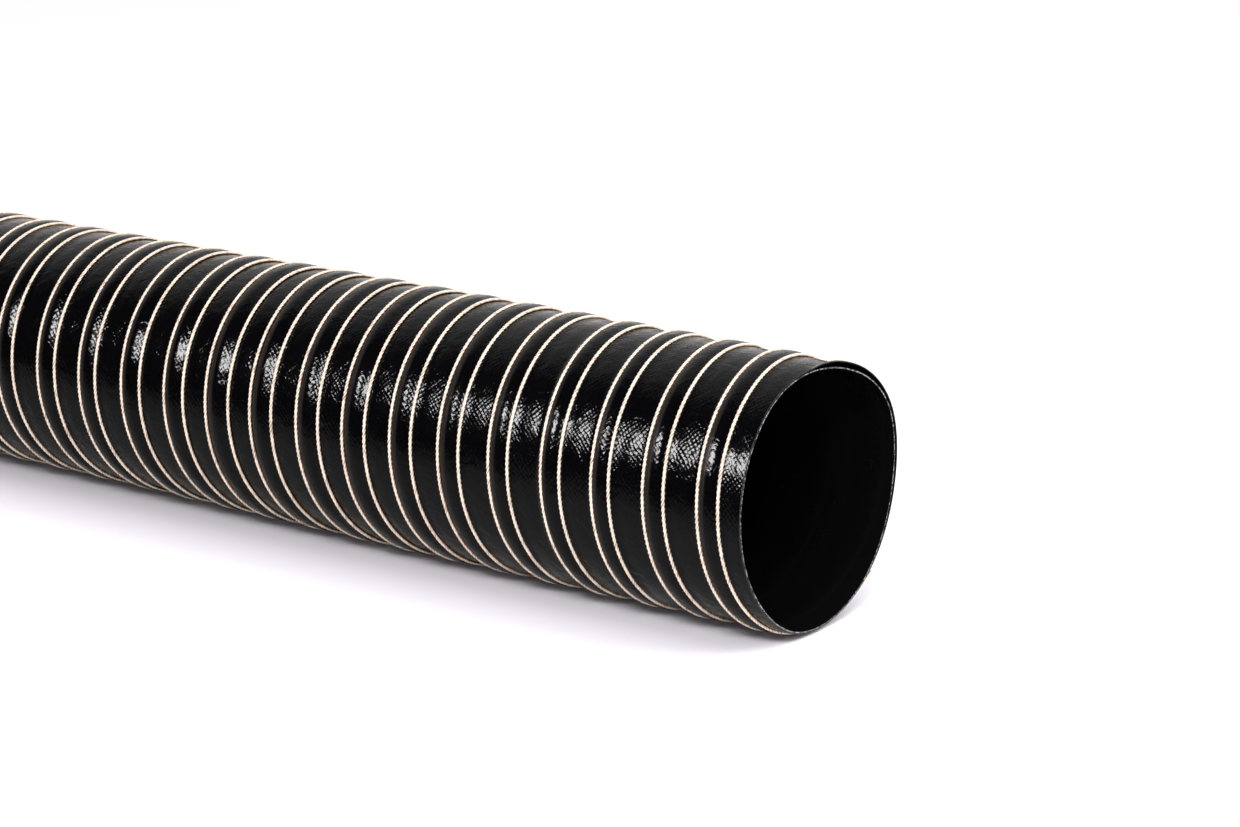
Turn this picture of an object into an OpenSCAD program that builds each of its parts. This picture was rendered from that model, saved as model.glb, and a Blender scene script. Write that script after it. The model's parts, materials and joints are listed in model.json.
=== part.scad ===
// Flexible air duct: two plies of coated glass fabric, a spring wire helix trapped between
// them, and two glass cords wound outside, one on each side of the ridge that the wire raises.
// The duct lies along X on the floor z = 0, and its middle is above the origin.

/* [Duct] */
// Cut length of the duct
duct_l = 600; // [250:5:600]
// Bore, which slips over a 4 inch spigot
bore_d = 102; // [70:1:160]
// Advance of the wire and the cords in one turn
pitch = 25; // [22:0.5:40]

/* [Plies] */
// Thickness of the inner ply
inner_ply_t = 0.45; // [0.3:0.05:1]
// Thickness of the outer ply on the flat panels
outer_ply_t = 0.45; // [0.3:0.05:1]
// Film of cement between the plies
bond_gap = 0.05; // [0.03:0.01:0.2]

/* [Wire and its ridge] */
// Diameter of the spring wire
wire_d = 1.8; // [1:0.1:2.5]
// Play of the wire between the two plies
wire_play = 0.1; // [0.06:0.01:0.3]
// Thickness of the outer ply over the wire, where its seam laps
ridge_t = 0.8; // [0.6:0.05:1.2]
// Width of the ridge where it leaves the panels
ridge_w = 7.6; // [7:0.1:8]
// Angle round the bore, from the +Y side, at which the ridge reaches the +X end
ridge_end_angle = 45; // [0:5:355]
// Distance of each end of the wire from the cut end of the plies
wire_setback = 1.2; // [1.1:0.1:3]
// Depth of the flat that the ridge wears where the duct lies on the floor
floor_flat = 0.5; // [0.4:0.05:0.55]

/* [Cords] */
// Diameter of the two outer cords
cord_d = 1.6; // [1:0.1:1.6]
// Distance from the ridge to the cord on its -X side
left_cord_off = 4.9; // [4.4:0.1:7]
// Distance from the ridge to the cord on its +X side
right_cord_off = 6.9; // [4.4:0.1:7]
// Play between a cord and the panel that it lies on
cord_seat = 0.03; // [0.02:0.01:0.1]
// Distance of each end of a cord from the cut end of the plies
cord_setback = 1; // [0.9:0.1:3]

/* [Hidden] */

// Radii, from the bore outwards
bore_r = bore_d / 2;
inner_ply_r = bore_r + inner_ply_t;
lining_r = inner_ply_r + bond_gap;
panel_r = lining_r + outer_ply_t;
wire_path_r = inner_ply_r + wire_play / 2 + wire_d / 2;
wire_top_r = wire_path_r + wire_d / 2;
tent_top_r = wire_top_r + wire_play / 2;
crest_r = tent_top_r + ridge_t;
cord_path_r = panel_r + cord_seat + cord_d / 2;
axis_z = crest_r - floor_flat;

// The ridge's back is an arc that is ridge_w wide on the panels and reaches crest_r
ridge_h = crest_r - panel_r;
ridge_back_r = (pow(ridge_w / 2, 2) + pow(ridge_h, 2)) / (2 * ridge_h);
ridge_path_r = crest_r - ridge_back_r;
tent_back_r = ridge_back_r - ridge_t;

// A helix is a chain of flat arcs, each a quarter turn, that meet without a corner
arc_step = 90;
half_step = arc_step / 2;
lap = 0.15;      // length by which every second arc runs into its neighbours
swell = 0.02;    // and by which its section is larger, so that their ends close in it
least_arc = 3;   // an end piece of fewer degrees than this is left off
trim_over = 10;  // how far cutting tools reach past what they cut

function x_to_angle(x, off) = ridge_end_angle + 360 * (x - duct_l / 2 - off) / pitch;
function angle_to_x(angle, off) = duct_l / 2 + off + pitch * (angle - ridge_end_angle) / 360;

// Tilt, half angle and radius of one arc whose middle lies at radius r. The tilt is found by
// halving: the arc's ends then lie a quarter pitch apart along the duct.
function arc_half(tilt) = atan2(cos(tilt) * sin(half_step), cos(half_step));
function arc_r(r, tilt) = r / (1 - cos(arc_half(tilt)) * pow(sin(tilt), 2));
function arc_rise(r, tilt) = 2 * arc_r(r, tilt) * sin(arc_half(tilt)) * sin(tilt);
function arc_tilt(r, low = 0, high = 45, pass = 0) =
    let (mid = (low + high) / 2)
    pass == 50 ? mid
    : arc_rise(r, mid) < pitch * arc_step / 360 ? arc_tilt(r, mid, high, pass + 1)
    : arc_tilt(r, low, mid, pass + 1);

// Round tube of section radius section_r whose centre line winds at radius path_r, from angle
// angle_0 to angle_1, and lies off beyond the ridge's crest along X
module winding(path_r, section_r, off, angle_0, angle_1, section_fn) {
    tilt = arc_tilt(path_r);
    half = arc_half(tilt);
    r = arc_r(path_r, tilt);
    centre = -r * cos(half) * pow(sin(tilt), 2);
    lap_angle = lap / r * 180 / PI;
    first = floor((angle_0 + least_arc) / arc_step);
    last = ceil((angle_1 - least_arc) / arc_step) - 1;
    for (i = [first : last]) {
        odd = abs(i) % 2;
        middle = arc_step * i + half_step;
        from = i == first ? max(angle_0 - middle, -half_step) * half / half_step
            : -half - odd * lap_angle;
        to = i == last ? min(angle_1 - middle, half_step) * half / half_step
            : half + odd * lap_angle;
        translate([angle_to_x(middle, off), 0, axis_z])
            rotate([90, 0, 90])
                rotate([0, 0, middle])
                    translate([centre, 0, 0])
                        rotate([tilt, 0, 0])
                            rotate([0, 0, from])
                                rotate_extrude(angle = to - from, $fn = 144)
                                    translate([r, 0])
                                        circle(r = section_r + odd * swell, $fn = section_fn);
    }
}

// The same tube between two square ends, each setback inside the duct's cut ends
module strand(path_r, d, off, setback)
    winding(path_r, d / 2, off, x_to_angle(setback - duct_l / 2, off),
            x_to_angle(duct_l / 2 - setback, off), 24);

// The same tube run out past both ends, for cutting off square with the plies
module run_out(path_r, section_r)
    winding(path_r, section_r, 0, x_to_angle(-duct_l / 2 - ridge_w, 0),
            x_to_angle(duct_l / 2 + ridge_w, 0), 48);

module round_x(r, l)
    translate([-l / 2, 0, axis_z]) rotate([0, 90, 0]) cylinder(r = r, h = l, $fn = 180);

module inner_ply()
    color([0.07, 0.07, 0.075])
        difference() {
            round_x(inner_ply_r, duct_l);
            round_x(bore_r, duct_l + trim_over);
        }

// The outer ply lies on the inner one, and rides over the wire as a hollow helical ridge
module outer_ply()
    color([0.1, 0.1, 0.11])
        intersection() {
            difference() {
                union() {
                    round_x(panel_r, duct_l + trim_over);
                    run_out(ridge_path_r, ridge_back_r);
                }
                run_out(ridge_path_r, tent_back_r);
                round_x(lining_r, duct_l + 4 * pitch);
                translate([-duct_l, -crest_r, -2 * trim_over])
                    cube([2 * duct_l, 2 * crest_r, 2 * trim_over]);
            }
            round_x(crest_r + trim_over, duct_l);
        }

module wire_helix()
    color([0.62, 0.63, 0.65])
        strand(wire_path_r, wire_d, 0, wire_setback);

module left_cord()
    color([0.9, 0.84, 0.72])
        strand(cord_path_r, cord_d, -left_cord_off, cord_setback);

module right_cord()
    color([0.9, 0.84, 0.72])
        strand(cord_path_r, cord_d, right_cord_off, cord_setback);

// Least gap between neighbouring turns of a strand, measured on points of two turns
function strand_point(r, angle) = [pitch * angle / 360, r * cos(angle), r * sin(angle)];
function own_gap(r, d) =
    min([for (a = [0 : 5 : 355], b = [360 - 30 : 1 : 360 + 30])
        norm(strand_point(r, a + b) - strand_point(r, a))]) - d;
echo(wire_turn_gap = own_gap(wire_path_r, wire_d));
echo(cord_turn_gap = own_gap(cord_path_r, cord_d));
echo(turns = duct_l / pitch);

inner_ply();
outer_ply();
wire_helix();
left_cord();
right_cord();
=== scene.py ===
# Straight cut length of flexible air duct, lying on a pale floor along X: a lining ply, a spring
# wire helix, an outer ply that rides over the wire, and two glass cords wound outside.
import json
import math

import bpy
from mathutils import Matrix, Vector


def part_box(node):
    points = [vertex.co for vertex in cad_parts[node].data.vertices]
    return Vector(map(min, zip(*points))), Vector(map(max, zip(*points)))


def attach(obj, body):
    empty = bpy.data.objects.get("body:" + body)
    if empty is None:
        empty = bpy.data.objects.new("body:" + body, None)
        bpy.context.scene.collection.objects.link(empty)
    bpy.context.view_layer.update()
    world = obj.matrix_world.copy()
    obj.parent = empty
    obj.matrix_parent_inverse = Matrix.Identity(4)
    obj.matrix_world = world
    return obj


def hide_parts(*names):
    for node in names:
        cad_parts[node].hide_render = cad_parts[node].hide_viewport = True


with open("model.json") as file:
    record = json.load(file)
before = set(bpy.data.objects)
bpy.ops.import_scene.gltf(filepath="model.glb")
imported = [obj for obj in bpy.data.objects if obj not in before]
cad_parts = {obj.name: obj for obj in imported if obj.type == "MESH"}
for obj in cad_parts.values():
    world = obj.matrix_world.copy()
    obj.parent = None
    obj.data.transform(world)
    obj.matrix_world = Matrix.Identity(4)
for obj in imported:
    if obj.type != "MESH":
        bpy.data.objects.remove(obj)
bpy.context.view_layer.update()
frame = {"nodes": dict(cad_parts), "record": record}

# Camera
# The eye stands in front of the open +X end and looks down the duct at a low angle, so that the
# ridges and cords cross the frame and the duct runs out of it on the left.
camera_place = (1.0465, -1.1109, 0.44355)
camera_azimuth = math.radians(37.16)
camera_down = math.radians(14.93)
camera_lens = 105.7

camera = bpy.data.objects.new("camera", bpy.data.cameras.new("camera"))
camera.location = camera_place
camera.rotation_euler = (math.pi / 2 - camera_down, 0, camera_azimuth)
camera.data.lens = camera_lens
camera.data.sensor_width = 36
camera.data.clip_start = 0.05
bpy.context.scene.collection.objects.link(camera)
bpy.context.scene.camera = camera

# Inner ply
# The lining of the bore: glass fabric coated with black rubber, satin inside. It is wound on a
# mandrel in one helical strip, and it is drawn out a little between the wire's turns.
duct_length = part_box("inner_ply")[1].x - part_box("inner_ply")[0].x
axis_height = (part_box("inner_ply")[1].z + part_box("inner_ply")[0].z) / 2
bore_radius = frame["record"]["mounts"][0]["dims"]["r_mm"] / 1000

# The winding, in metres and degrees: its advance in one turn, the angle at which the ridge
# reaches the +X end, the gauge of a ply and the film of cement between the two plies
pitch = 0.025
ridge_end_angle = 45
ply = 0.00045
cement = 0.00005

# A ply's mesh: the turns drawn, of which the knife takes off about two, the faces round a turn,
# and the angle of its seam, under the duct
turns_drawn = math.ceil(duct_length / pitch) + 2
columns = 112
seam_angle = -90
merge_distance = 0.00002
sharp_angle = 35
cut_facing = 0.93  # a face that looks along the duct by more than this is the knife's cut

# The weave's yarns round the duct, and along it in one turn
round_cells = 156.0
turn_cells = 12.0


class Rule:
    """A value that a node tree works out at every point."""

    def __init__(self, tree, socket):
        self.tree = tree
        self.socket = socket

    def math(self, operation, *others):
        made = self.tree.nodes.new("ShaderNodeMath")
        made.operation = operation
        for place, value in enumerate((self, *others)):
            plug(self.tree, made.inputs[place], value)
        return Rule(self.tree, made.outputs[0])

    def __add__(self, other):
        return self.math("ADD", other)

    def __radd__(self, other):
        return self.math("ADD", other)

    def __sub__(self, other):
        return self.math("SUBTRACT", other)

    def __rsub__(self, other):
        return self.math("MULTIPLY_ADD", -1.0, other)

    def __mul__(self, other):
        return self.math("MULTIPLY", other)

    def __rmul__(self, other):
        return self.math("MULTIPLY", other)

    def __truediv__(self, other):
        return self.math("DIVIDE", other)

    def __gt__(self, other):
        return self.math("GREATER_THAN", other)

    def __lt__(self, other):
        return self.math("LESS_THAN", other)


def plug(tree, socket, value):
    """Gives a socket a rule, another socket or a plain value."""
    if isinstance(value, Rule):
        value = value.socket
    if isinstance(value, bpy.types.NodeSocket):
        tree.links.new(value, socket)
    else:
        socket.default_value = value


def add_node(tree, kind, inputs=None, **settings):
    """A new node with its settings, and its inputs by name."""
    made = tree.nodes.new(kind)
    for name, value in settings.items():
        setattr(made, name, value)
    for name, value in (inputs or {}).items():
        plug(tree, made.inputs[name], value)
    return made


def split(tree, vector):
    """The three parts of a vector socket, as rules."""
    made = add_node(tree, "ShaderNodeSeparateXYZ")
    plug(tree, made.inputs[0], vector)
    return [Rule(tree, part) for part in made.outputs]


def wave(angle, size, times, turned):
    """size * sin(times * angle + turned), in degrees."""
    return size * (angle * math.radians(times) + math.radians(turned)).math("SINE")


def all_waves(angle, waves):
    """The sum of waves, each given by its size in metres, times round and turned."""
    total = wave(angle, *waves[0])
    for one in waves[1:]:
        total = total + wave(angle, *one)
    return total


def curve(rule, points):
    """A smooth curve through points of 0 to 1, at rule's fraction of a turn."""
    made = add_node(rule.tree, "ShaderNodeFloatCurve", {"Value": rule.math("FRACT")})
    line = made.mapping.curves[0]
    line.points[0].location = points[0]
    line.points[1].location = points[-1]
    for x, y in points[1:-1]:
        line.points.new(x, y)
    for point in line.points:
        point.handle_type = "AUTO"
    made.mapping.update()
    return Rule(rule.tree, made.outputs[0])


def turn_points(*points):
    """Points for curve() over one turn, which ends as it starts.

    Each is given by its distance past the ridge's crest along the duct, in millimetres, and
    its value.
    """
    shares = [(distance / 1000 / pitch % 1, value) for distance, value in points]
    return [*shares, (1, points[0][1])]


# The knife's path round the ends of the duct, as waves, and how far round it is turned at the
# left end
cut_waves = (
    (0.00044, 0, 90),
    (0.00112, 1, 116),
    (0.00164, 2, -1),
    (0.00062, 3, -64),
    (0.00042, 4, -110),
)
left_cut_turned = 150


def cut(angle):
    """How far the cut end stands out past a square cut."""
    return all_waves(angle, cut_waves)


# How the open mouth's edge is out of round, as waves, and how far in from it that dies away
mouth_waves = ((0.00035, 0, -90), (0.0004, 2, 30), (0.0003, 3, 100))
mouth_reach = 0.02


def mouth(angle, x):
    """How far the wall stands out near the open end, which is nothing or less."""
    fading = ((x - duct_length / 2) / mouth_reach).math("EXPONENT")
    return all_waves(angle, mouth_waves).math("MINIMUM", 0.0) * fading


def geometry_tree(name, **sizes):
    """An empty geometry tree with a named input for each size."""
    tree = bpy.data.node_groups.new(name, "GeometryNodeTree")
    tree.interface.new_socket("Geometry", in_out="OUTPUT", socket_type="NodeSocketGeometry")
    for label, value in sizes.items():
        kind = "NodeSocketInt" if isinstance(value, int) else "NodeSocketFloat"
        tree.interface.new_socket(label, in_out="INPUT", socket_type=kind)
    start = tree.nodes.new("NodeGroupInput")
    return tree, {label: Rule(tree, start.outputs[label]) for label in sizes}


def moved(tree, geometry, x, y, z=0.0):
    """The geometry with its points at x, y, z."""
    place = add_node(tree, "ShaderNodeCombineXYZ", {"X": x, "Y": y, "Z": z})
    made = add_node(
        tree, "GeometryNodeSetPosition", {"Geometry": geometry, "Position": place.outputs[0]}
    )
    return made.outputs[0]


def marked(tree, geometry, name, value, data_type="FLOAT", domain="POINT"):
    """The geometry with a value stored under a name."""
    made = add_node(
        tree,
        "GeometryNodeStoreNamedAttribute",
        {"Geometry": geometry, "Name": name, "Value": value},
        data_type=data_type,
        domain=domain,
    )
    return made.outputs[0]


def painted(tree, geometry, material):
    """The geometry as smooth, real faces of a material."""
    smooth = add_node(tree, "GeometryNodeSetShadeSmooth", {"Geometry": geometry})
    real = add_node(tree, "GeometryNodeRealizeInstances", {"Geometry": smooth.outputs[0]})
    made = add_node(
        tree, "GeometryNodeSetMaterial", {"Geometry": real.outputs[0], "Material": material}
    )
    return made.outputs[0]


def grown(name, tree, geometry, sizes, angle=None):
    """The plain mesh piece that a geometry tree ends with, at these sizes."""
    end = tree.nodes.new("NodeGroupOutput")
    tree.links.new(geometry, end.inputs[0])
    piece = bpy.data.objects.new(name, bpy.data.meshes.new(name))
    bpy.context.scene.collection.objects.link(piece)
    modifier = piece.modifiers.new(name, "NODES")
    modifier.node_group = tree
    for item in tree.interface.items_tree:
        if item.item_type == "SOCKET" and item.in_out == "INPUT":
            modifier[item.identifier] = sizes[item.name]
    ready = piece.evaluated_get(bpy.context.evaluated_depsgraph_get())
    mesh = bpy.data.meshes.new_from_object(ready)
    mesh.name = name
    piece.modifiers.remove(modifier)
    piece.data = mesh
    if angle:
        mesh.set_sharp_from_angle(angle=math.radians(angle))
    return piece


def wound_wall(name, sizes, outside, inside, material, cut_material):
    """A closed wall of two faces round the duct, whose rows run beside the ridge's helix.

    outside and inside give each face's radius from a turn's share past the crest, the angle
    and the place along the duct. The rows run out over the outside, come back over the inside,
    and the last one closes the wall on the first.
    """
    tree, size = geometry_tree(name, **sizes)
    half = size["length"] / 2
    near_rows = size["turns"] * size["outside_rows"] + 1
    far_rows = size["turns"] * size["inside_rows"] + 1
    grid = add_node(tree, "GeometryNodeMeshGrid", {"Size X": 1.0, "Size Y": 1.0})
    plug(tree, grid.inputs["Vertices X"], near_rows + far_rows + 1)
    plug(tree, grid.inputs["Vertices Y"], size["columns"] + 1)
    place = split(tree, add_node(tree, "GeometryNodeInputPosition").outputs[0])
    row = (place[0] + 0.5) * (near_rows + far_rows)
    angle = (place[1] + 0.5) * 360 + seam_angle
    last = row > (near_rows + far_rows - 0.5)
    far = (row > (near_rows - 0.5)) * (1 - last)
    turn = (row / size["outside_rows"]) * (1 - far) * (1 - last)
    turn = turn + far * (size["turns"] - (row - near_rows) / size["inside_rows"])
    turn = turn - size["crowding"] / math.tau * (turn * math.tau).math("SINE")
    lean = (angle - size["end_angle"]) / 360
    x = half + size["pitch"] * (lean + turn - size["turns"] + 1)
    x = x.math("MINIMUM", half + cut(angle))
    x = x.math("MAXIMUM", cut(angle + left_cut_turned) - half)
    share = (x - half) / size["pitch"] - lean
    radius = outside(share, angle, x) * (1 - far) + inside(share, angle, x) * far
    radius = radius + mouth(angle, x)
    turned = angle * math.radians(1)
    height = size["axis_height"] + radius * turned.math("SINE")
    flat = add_node(
        tree,
        "ShaderNodeCombineXYZ",
        {"X": angle / 360 * size["round_cells"], "Y": turn * size["turn_cells"]},
    )
    mapped = marked(tree, grid.outputs["Mesh"], "UVMap", flat.outputs[0], "FLOAT2", "CORNER")
    placed = moved(tree, mapped, x, radius * turned.math("COSINE"), height.math("MAXIMUM", 0.0))
    merged = add_node(
        tree, "GeometryNodeMergeByDistance", {"Geometry": placed, "Distance": merge_distance}
    )
    facing = split(tree, add_node(tree, "GeometryNodeInputNormal").outputs[0])[0]
    trimmed = add_node(
        tree,
        "GeometryNodeSetMaterial",
        {
            "Geometry": painted(tree, merged.outputs[0], material),
            "Selection": facing.math("ABSOLUTE") > cut_facing,
            "Material": cut_material,
        },
    )
    return grown(name, tree, trimmed.outputs[0], sizes, sharp_angle)


def new_material(name, color, roughness):
    """A material, its node tree and its shader."""
    material = bpy.data.materials.new(name)
    material.use_nodes = True
    shader = material.node_tree.nodes["Principled BSDF"]
    shader.inputs["Base Color"].default_value = (*color, 1)
    shader.inputs["Roughness"].default_value = roughness
    return material, material.node_tree, shader


def noise(tree, scale, detail, distortion=0.0):
    """Noise of 0 to 1 over a piece, at its own coordinates."""
    coords = add_node(tree, "ShaderNodeTexCoord")
    made = add_node(tree, "ShaderNodeTexNoise", {"Vector": coords.outputs["Object"]})
    plug(tree, made.inputs["Scale"], scale)
    plug(tree, made.inputs["Detail"], detail)
    plug(tree, made.inputs["Distortion"], distortion)
    return Rule(tree, made.outputs["Fac"])


def tones(tree, factor, *stops):
    """A colour ramp between two stops, each given by its position and its colour."""
    ramp = add_node(tree, "ShaderNodeValToRGB", {"Fac": factor})
    for place, (position, color) in enumerate(stops):
        ramp.color_ramp.elements[place].position = position
        ramp.color_ramp.elements[place].color = (*color, 1)
    return ramp.outputs["Color"]


def mixed(tree, factor, first, second):
    """The first colour where factor is 0, and the second where it is 1."""
    made = add_node(tree, "ShaderNodeMix", {"Factor": factor}, data_type="RGBA")
    colors = [socket for socket in made.inputs if socket.type == "RGBA"]
    plug(tree, colors[0], first)
    plug(tree, colors[1], second)
    return next(socket for socket in made.outputs if socket.type == "RGBA")


# The weave: how far its yarns wander, in yarns, how much its depth varies over the coat, the
# least share of its depth, and how far from the crest the depth is whole, as a share of a turn
wander_far = 4
wander_near = 2
depth_patches = 3
depth_drift = 2
least_depth = 0.2
crest_reach = 0.15

# A band just before the crest where the coat is lighter, browner and rougher: how far before the
# crest and how wide, as shares of a turn, and how many such widths from the middle the band ends
band_place = 0.05
band_width = 0.045
band_end = 1.5


def weave_group():
    """The relief of a plain weave under its coating, with crinkles, from a piece's UV map."""
    tree = bpy.data.node_groups.new("weave_relief", "ShaderNodeTree")
    asked = ("Depth", "Wander", "Crinkle", "Crest")
    for label in asked:
        tree.interface.new_socket(label, in_out="INPUT", socket_type="NodeSocketFloat")
    for label in ("Height", "Patch", "Crest Band"):
        tree.interface.new_socket(label, in_out="OUTPUT", socket_type="NodeSocketFloat")
    start = tree.nodes.new("NodeGroupInput")
    depth, wander, crinkle, crest = (Rule(tree, start.outputs[label]) for label in asked)
    flat = split(tree, add_node(tree, "ShaderNodeTexCoord").outputs["UV"])
    drift = noise(tree, 90.0, 2.0)
    fine_drift = noise(tree, 260.0, 2.0)
    patch = noise(tree, 40.0, 3.0)
    crinkles = noise(tree, 180.0, 4.0, 0.8)
    along = flat[0] + wander * (drift - 0.5) * wander_far
    across = flat[1] + wander * (fine_drift - 0.5) * wander_near

    def apart(shift):
        """Squared distance from the nearest crossing of one of the two sets."""
        beside = (along + shift).math("FRACT") - 0.5
        ahead = (across + shift).math("FRACT") - 0.5
        return beside * beside + ahead * ahead

    def turns_from(place):
        """Share of a turn from a place that lies this share of a turn before the crest."""
        turn = flat[1] / turn_cells + (0.5 + place)
        return (turn.math("FRACT") - 0.5).math("ABSOLUTE")

    bumps = 1 - 4 * apart(0.0).math("MINIMUM", apart(0.5))
    strength = (patch - 0.5) * depth_patches + (drift - 0.5) * depth_drift
    strength = (strength + 1).math("MAXIMUM", least_depth)
    off_crest = (turns_from(0) / crest_reach).math("MINIMUM", 1.0)
    strength = strength * (crest + (1 - crest) * off_crest)
    # a band just before the crest, where the coat gets a lighter, browner color and more roughness
    crest_band = (band_end - turns_from(band_place) / band_width).math("MAXIMUM", 0.0)
    end = tree.nodes.new("NodeGroupOutput")
    plug(tree, end.inputs["Height"], depth * strength * bumps + crinkle * (crinkles - 0.5) * 4)
    plug(tree, end.inputs["Patch"], patch)
    plug(tree, end.inputs["Crest Band"], crest_band.math("MINIMUM", 1.0))
    return tree


weave_relief = weave_group()

# The coat's index of refraction, and its roughness: the least share of the value asked for, and
# the share that its patches add
coat_ior = 1.31
least_roughness = 0.6
patch_roughness = 0.8


def coated_fabric(
    name, color, roughness, depth, wander, crinkle, crest, band_color, band_roughness
):
    """Rubber-coated glass fabric, whose weave shows through the coat as soft bumps.

    depth and crinkle are the heights of the weave and the crinkles in metres, wander says how
    uneven the yarns are, and crest is the share of the weave's depth over the wire. In a band just
    before the crest the coat has the color and the roughness of the last two values.
    """
    material, tree, shader = new_material(name, color, roughness)
    shader.inputs["IOR"].default_value = coat_ior
    relief = add_node(tree, "ShaderNodeGroup", node_tree=weave_relief)
    plug(tree, relief.inputs["Depth"], depth)
    plug(tree, relief.inputs["Wander"], wander)
    plug(tree, relief.inputs["Crinkle"], crinkle)
    plug(tree, relief.inputs["Crest"], crest)
    bump = add_node(tree, "ShaderNodeBump", {"Height": relief.outputs["Height"], "Distance": 1.0})
    plug(tree, shader.inputs["Normal"], bump.outputs[0])
    crest_band = Rule(tree, relief.outputs["Crest Band"])
    patches = roughness * patch_roughness * Rule(tree, relief.outputs["Patch"])
    shine = roughness * least_roughness + patches
    plug(tree, shader.inputs["Roughness"], shine + crest_band * (band_roughness - roughness))
    worn = mixed(tree, crest_band, (*color, 1), (*band_color, 1))
    plug(tree, shader.inputs["Base Color"], worn)
    return material


def cut_fibre(name, pale):
    """The cut edge of a ply: yarn ends of this paleness, in a row between black coats."""
    material, tree, shader = new_material(name, (0.1, 0.1, 0.1), 0.7)
    yarn = (0.6, (pale, pale, pale))
    specks = tones(tree, noise(tree, 1100.0, 1.0), (0.45, (0.01, 0.01, 0.011)), yarn)
    plug(tree, shader.inputs["Base Color"], specks)
    return material


lining_cut = cut_fibre("lining_cut", 0.26)
cover_cut = cut_fibre("cover_cut", 0.03)
lining_black = coated_fabric(
    "lining_black",
    color=(0.002, 0.002, 0.0022),
    roughness=0.3,
    depth=0.00002,
    wander=0.2,
    crinkle=0.00003,
    crest=1.0,
    band_color=(0.0026, 0.0026, 0.0028),
    band_roughness=0.32,
)

# How far the lining is drawn out between the wire's turns
lining_lift = 0.00095
lining_curve = turn_points(
    (0, 0.03), (2, 0.2), (5.6, 0.5), (8.5, 0.95), (14, 0.6), (19, 0.08), (22, 0.0)
)


def lining_out(share, angle, x):
    return bore_radius + ply + lining_lift * curve(share, lining_curve)


def lining_in(share, angle, x):
    return bore_radius + lining_lift * curve(share, lining_curve)


winding_sizes = {
    "length": duct_length,
    "pitch": pitch,
    "turns": turns_drawn,
    "columns": columns,
    "end_angle": float(ridge_end_angle),
    "axis_height": axis_height,
    "round_cells": round_cells,
    "turn_cells": turn_cells,
}
inner_ply = wound_wall(
    "duct_lining",
    {**winding_sizes, "outside_rows": 8, "inside_rows": 12, "crowding": 0.1},
    lining_out,
    lining_in,
    lining_black,
    lining_cut,
)
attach(inner_ply, "root")
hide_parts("inner_ply")

# Wire helix
# A spring of drawn steel wire, trapped between the plies, which keeps the duct open when it is
# bent. The fixed model's wire has the true shape and gets bright drawn steel.
least_steel_roughness = 0.2
steel_mark_roughness = 0.2
steel, steel_tree, steel_shader = new_material("drawn_steel", (0.55, 0.56, 0.58), 0.28)
steel_shader.inputs["Metallic"].default_value = 1.0
steel_marks = steel_mark_roughness * noise(steel_tree, 900.0, 3.0)
plug(steel_tree, steel_shader.inputs["Roughness"], least_steel_roughness + steel_marks)
wire = frame["nodes"]["wire_helix"]
wire.material_slots[0].material = steel

# Outer ply
# The same coated fabric, black and glossy. It stands up over the wire in a hollow ridge, steep on
# its left and long on its right, with a cord sunk into each shoulder, and bellies out a little
# between the ridges.
outer_base = bore_radius + 2 * ply + cement
ridge_height = 0.0021
ridge_curve = turn_points(
    (0, 0.975),
    (1.1, 0.99),
    (2, 0.96),
    (2.8, 0.88),
    (3.7, 0.72),
    (4.8, 0.55),
    (6, 0.44),
    (6.9, 0.38),
    (7.8, 0.31),
    (9, 0.28),
    (11.5, 0.32),
    (14, 0.31),
    (16, 0.26),
    (18, 0.22),
    (19.5, 0.19),
    (20.4, 0.26),
    (21, 0.44),
    (21.7, 0.62),
    (22.4, 0.78),
    (23.2, 0.9),
    (24, 0.95),
)

# How each cord wanders along the duct, as waves, and how much of that the fabric beside it follows
left_waves = ((0.00058, 0.09, 179), (0.0004, 0.23, 19), (0.00026, 0.37, -169))
right_waves = ((0.0011, 0.07, -22), (0.00034, 0.27, 99), (0.00036, 0.45, -31))
left_pull = turn_points((0, 0.0), (13, 0.0), (19, 0.8), (21.6, 1.0), (22.6, 0.9))
right_pull = turn_points((0, 0.0), (6, 1.0), (8, 1.0), (13, 0.0))

# How much fuller the duct is all along and at most, and where along it that is
swell_everywhere = 0.00005
swell_height = 0.0006
swell_middle = 0.11
swell_reach = 0.11


def fabric_out(share, angle, x):
    pulled = all_waves(angle, left_waves) * curve(share, left_pull)
    pulled = pulled + all_waves(angle, right_waves) * curve(share, right_pull)
    off_middle = (x - swell_middle) / swell_reach
    swell = swell_height * (-1 * off_middle * off_middle).math("EXPONENT") + swell_everywhere
    return outer_base + swell + ridge_height * curve(share - pulled / pitch, ridge_curve)


def fabric_in(share, angle, x):
    return fabric_out(share, angle, x) - ply


outer_black = coated_fabric(
    "outer_black",
    color=(0.0008, 0.0007, 0.001),
    roughness=0.12,
    depth=0.000065,
    wander=0.45,
    crinkle=0.00009,
    crest=0.3,
    band_color=(0.009, 0.0072, 0.0066),
    band_roughness=0.34,
)
outer_ply = wound_wall(
    "duct_cover",
    {**winding_sizes, "outside_rows": 23, "inside_rows": 10, "crowding": 0.4},
    fabric_out,
    fabric_in,
    outer_black,
    cover_cut,
)
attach(outer_ply, "root")
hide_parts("outer_ply")

# Cords
# Two twisted glass cords, cream, wound outside under tension, one on each shoulder of the ridge.
# They hold the fabric tight to the wire, and both are cut off with the duct's ends.
cord_radius = 0.0008
cord_sunk = 0.0004
cord_short = 0.0004
cord_lay = 0.006

# The twist's section: its corners, every second one in a groove, the groove's depth as a share of
# the radius, and the sections in one lay
section_corners = 6
groove_depth = 0.22
rings_per_lay = 9
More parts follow.
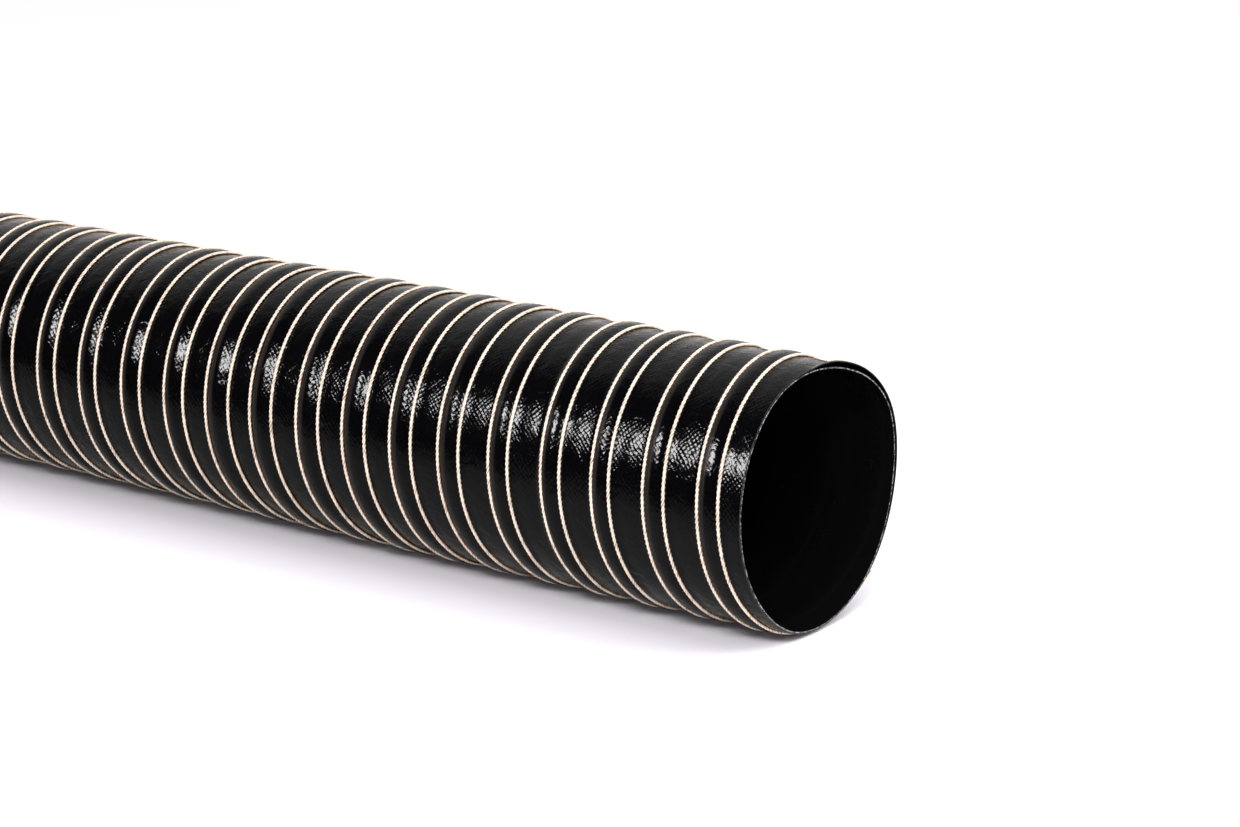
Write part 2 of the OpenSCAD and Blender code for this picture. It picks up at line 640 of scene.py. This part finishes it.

# Painted shade on a cord, on its side against the fabric and in the grooves between its strands:
# how far into the cord that shade grows to its darkest, how much a groove darkens, and how pale an
# unshaded strand is, each as a share of the ramp from the darkest to the palest stop
shade_depth = 0.0004
groove_shade = 0.75
unshaded_tone = 1.25
# The ramp's ends: a dark tan for painted shade and the darkest random tone, and the cord's own
# cream
darkest_stop = (0.3, (0.22, 0.13, 0.07))
palest_stop = (0.95, (0.72, 0.605, 0.51))


def cord_material():
    """Cream glass cord, pale where its strands stand out, with painted shade: tan in the grooves
    between them and brown on its side against the fabric.
    """
    material, tree, shader = new_material("glass_cord_cream", (0.8, 0.68, 0.5), 0.6)
    groove, shaded_to = (
        Rule(tree, add_node(tree, "ShaderNodeAttribute", attribute_name=stored).outputs["Fac"])
        for stored in ("groove", "shaded_to")
    )
    place = split(tree, add_node(tree, "ShaderNodeTexCoord").outputs["Object"])
    up = place[2] - axis_height
    out = (place[1] * place[1] + up * up).math("SQRT")
    # painted shade, growing toward the duct below the height that the cord keeps
    set_in = ((shaded_to - out) / shade_depth).math("MAXIMUM", 0.0)
    # painted shade: darker in the grooves between strands and down the side against the fabric
    tone = unshaded_tone - groove * groove * groove_shade - set_in
    tone = tone + (noise(tree, 400.0, 3.0) - 0.5) * 2
    plug(tree, shader.inputs["Base Color"], tones(tree, tone, darkest_stop, palest_stop))
    return material


cord_cream = cord_material()


def wound_cord(name, node, beside, waves, shade_reach):
    """A cord at a distance beside the crest, wound on the outer ply from end to end.

    It has painted shade from the duct out to this height above its own middle.
    """
    sizes = {
        "length": duct_length,
        "pitch": pitch,
        "end_angle": float(ridge_end_angle),
        "axis_height": axis_height,
        "beside": beside,
        "radius": cord_radius,
    }
    tree, size = geometry_tree(name, **sizes)
    half = size["length"] / 2
    around = math.tau * (outer_base + cord_radius)
    lays = turns_drawn * around / cord_lay
    first_angle = ridge_end_angle - 360 * (turns_drawn - 1)
    last_angle = ridge_end_angle + 360
    points = int(lays * rings_per_lay)
    line = add_node(tree, "GeometryNodeMeshLine", {"Count": points})
    path = add_node(tree, "GeometryNodeMeshToCurve", {"Mesh": line.outputs[0]})
    index = Rule(tree, add_node(tree, "GeometryNodeInputIndex").outputs[0])
    angle = first_angle + index * ((last_angle - first_angle) / (points - 1))
    x = half + size["pitch"] * (angle - size["end_angle"]) / 360 + size["beside"]
    x = x + all_waves(angle, waves)
    share = (x - half) / size["pitch"] - (angle - size["end_angle"]) / 360
    radius = fabric_out(share, angle, x) + size["radius"] - cord_sunk + mouth(angle, x)
    turned = angle * math.radians(1)
    height = size["axis_height"] + radius * turned.math("SINE")
    wound = moved(tree, path.outputs[0], x, radius * turned.math("COSINE"), height)
    # the cord keeps the height up to which it gets painted shade on its side against the fabric
    twisted = add_node(
        tree,
        "GeometryNodeSetCurveTilt",
        {
            "Curve": marked(tree, wound, "shaded_to", radius + shade_reach),
            "Tilt": index * (math.tau / rings_per_lay),
        },
    )
    past_left = x < cut(angle + left_cut_turned) - half + cord_short
    past_end = (x > half + cut(angle) - cord_short).math("MAXIMUM", past_left)
    trimmed = add_node(
        tree,
        "GeometryNodeDeleteGeometry",
        {"Geometry": twisted.outputs[0], "Selection": past_end},
        domain="POINT",
    )
    section = add_node(
        tree, "GeometryNodeCurvePrimitiveCircle", {"Resolution": section_corners, "Radius": 1.0}
    )
    corner = Rule(tree, add_node(tree, "GeometryNodeInputIndex").outputs[0])
    groove = (corner / 2).math("FRACT") * 2
    out = size["radius"] * (1 - groove_depth * groove)
    around_section = corner * (math.tau / section_corners)
    lobed = moved(
        tree,
        marked(tree, section.outputs[0], "groove", groove),
        out * around_section.math("COSINE"),
        out * around_section.math("SINE"),
    )
    tube = add_node(
        tree,
        "GeometryNodeCurveToMesh",
        {"Curve": trimmed.outputs[0], "Profile Curve": lobed, "Fill Caps": True},
    )
    where = split(tree, add_node(tree, "GeometryNodeInputPosition").outputs[0])
    rested = moved(tree, tube.outputs[0], where[0], where[1], where[2].math("MAXIMUM", 0.0))
    piece = grown(name, tree, painted(tree, rested, cord_cream), sizes)
    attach(piece, "root")
    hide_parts(node)


# The last value is how far above its middle a cord gets painted shade: higher on the left cord
wound_cord("cord_left", "left_cord", -0.00335, left_waves, 0.00025)
wound_cord("cord_right", "right_cord", 0.0068, right_waves, 0.00005)

# Floor and light
# A plain pale floor, which the duct's gloss shows darker, and less the farther off it is. A soft
# box at the left makes only the highlights, lights in front, at the right and overhead make only
# the even light, and the room is bright behind the duct and dim in front of it.
floor_half = 4.0
floor_color = (0.78, 0.75, 0.805, 1)
thrown_color = (1.0, 0.97, 0.97, 1)
floor_mirrored = 0.42
floor_fade = 0.3

floor_mesh = bpy.data.meshes.new("floor")
floor_mesh.from_pydata(
    [(x * floor_half, y * floor_half, 0) for x, y in ((-1, -1), (1, -1), (1, 1), (-1, 1))],
    [],
    [(0, 1, 2, 3)],
)
floor = bpy.data.objects.new("floor", floor_mesh)
bpy.context.scene.collection.objects.link(floor)
floor_white, floor_tree, floor_shader = new_material("floor_white", floor_color[:3], 0.9)
floor_shader.inputs["Specular IOR Level"].default_value = 0.0
floor_ray = add_node(floor_tree, "ShaderNodeLightPath")
floor_place = split(floor_tree, add_node(floor_tree, "ShaderNodeTexCoord").outputs["Object"])
floor_dim = floor_mirrored * (floor_place[1].math("ABSOLUTE") / -floor_fade).math("EXPONENT")
floor_tone = mixed(floor_tree, floor_ray.outputs["Is Glossy Ray"], floor_color, floor_dim)
thrown = mixed(floor_tree, floor_ray.outputs["Is Diffuse Ray"], floor_tone, thrown_color)
plug(floor_tree, floor_shader.inputs["Base Color"], thrown)
floor_mesh.materials.append(floor_white)


def soft_box(name, place, target, width, height, power):
    """A rectangular soft light at place, turned to target."""
    light = bpy.data.lights.new(name, "AREA")
    light.shape = "RECTANGLE"
    light.size = width
    light.size_y = height
    light.energy = power
    made = bpy.data.objects.new(name, light)
    made.location = place
    made.rotation_mode = "QUATERNION"
    made.rotation_quaternion = (Vector(target) - Vector(place)).to_track_quat("-Z", "Y")
    bpy.context.scene.collection.objects.link(made)
    return made


left_light = soft_box("left_soft_box", (-0.21, -0.95, 0.7), (0.1, 0, 0.05), 0.44, 0.22, 11.5)
left_light.visible_diffuse = False
front_light = soft_box("front_fill", (0.7, -0.95, 0.83), (0.1, 0, 0.05), 0.6, 0.25, 15.5)
front_light.visible_glossy = False
fill_light = soft_box("right_fill", (1.3, 0.5, 0.9), (0.2, 0, 0), 0.8, 0.8, 14)
fill_light.visible_glossy = False
top_light = soft_box("top_soft_box", (0, 0.8, 3), (0, 0.6, 0), 5.0, 5.0, 95)
top_light.visible_glossy = False

# The room as the gloss shows it: the backdrop's light, where it begins and how softly, the height
# to which the horizon behind glows, and the rest; then its light on the duct and to the eye
back_light = 0.8
back_begins = 0.17
back_softness = 0.3
glow_height = 0.45
room_light = 0.045
lit = 0.85
white = 0.99

world = bpy.data.worlds.new("studio")
bpy.context.scene.world = world
world.use_nodes = True
sky = world.node_tree
sky.nodes.clear()
ray = add_node(sky, "ShaderNodeLightPath")
direction = split(sky, add_node(sky, "ShaderNodeTexCoord").outputs["Generated"])
toward_back = direction[1]
fall = ((toward_back + back_begins) / -back_softness).math("EXPONENT")
back = back_light * (1 - fall).math("MAXIMUM", 0.0)
horizon = (toward_back > 0) * (glow_height - direction[2]).math("MAXIMUM", 0.0)
glow = back + horizon + room_light
mirrored = Rule(sky, ray.outputs["Is Glossy Ray"])
seen = Rule(sky, ray.outputs["Is Camera Ray"])
strength = mirrored * glow + (1 - mirrored) * (lit + (white - lit) * seen)
background = add_node(sky, "ShaderNodeBackground", {"Strength": strength})
sky_end = add_node(sky, "ShaderNodeOutputWorld")
sky.links.new(background.outputs[0], sky_end.inputs[0])

bpy.context.scene.view_settings.view_transform = "Standard"
